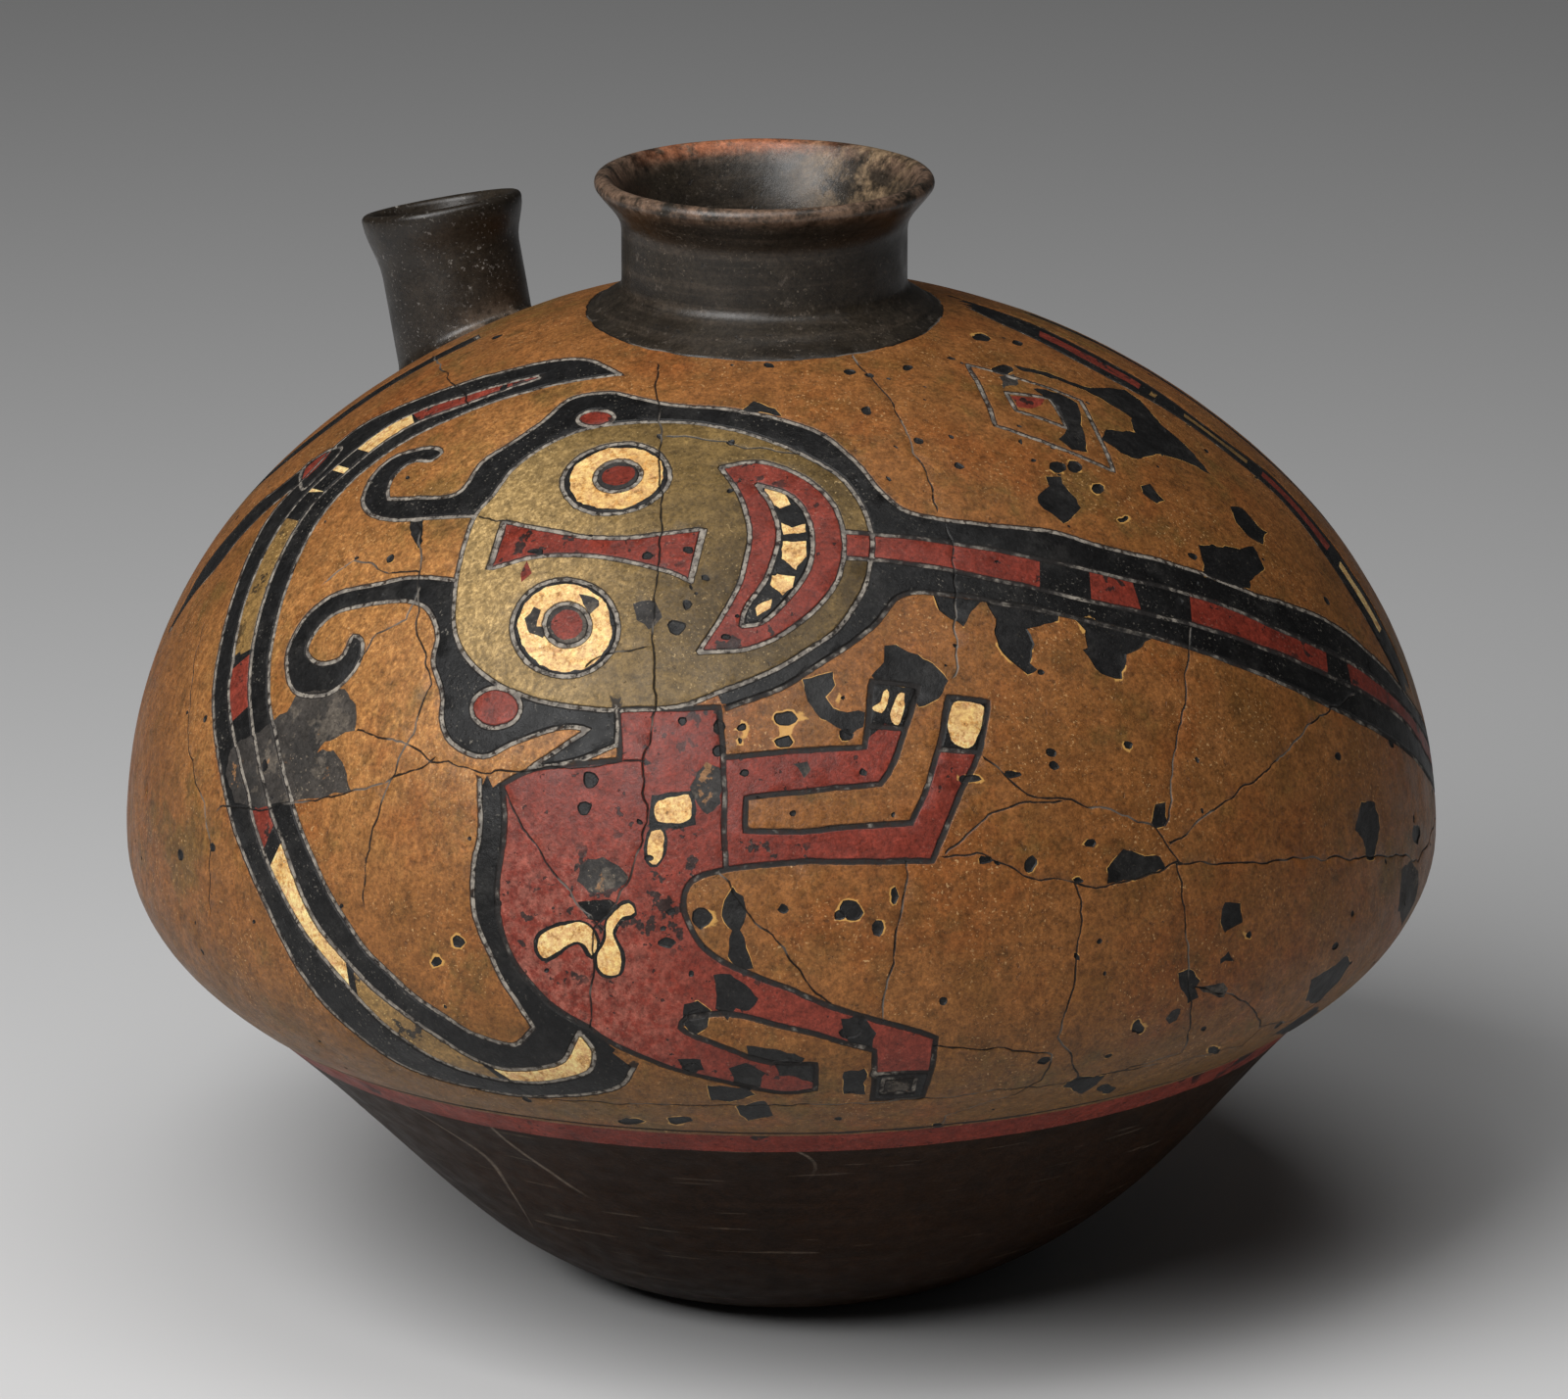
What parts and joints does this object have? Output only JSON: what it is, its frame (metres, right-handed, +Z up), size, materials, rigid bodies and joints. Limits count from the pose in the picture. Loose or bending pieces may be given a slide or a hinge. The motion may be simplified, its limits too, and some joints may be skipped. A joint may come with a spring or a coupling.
{
  "type": "painted pottery jar",
  "caption": "Round-bodied hollow pottery jar on a small flat spot, with a short flared neck, a leaning side spout and a painted and incised front.",
  "frame": {"origin": "middle of the flat spot that the jar stands on", "axes": "+Z up, -Y out of the painted front, +X to the right of someone who looks at the front; the side spout is behind the left side"},
  "size_m": [0.34, 0.34, 0.2902],
  "materials": {
    "clay": "burnished slip"
  },
  "bodies": {
    "root": {"jar": "clay"}
  },
  "joints": []
}
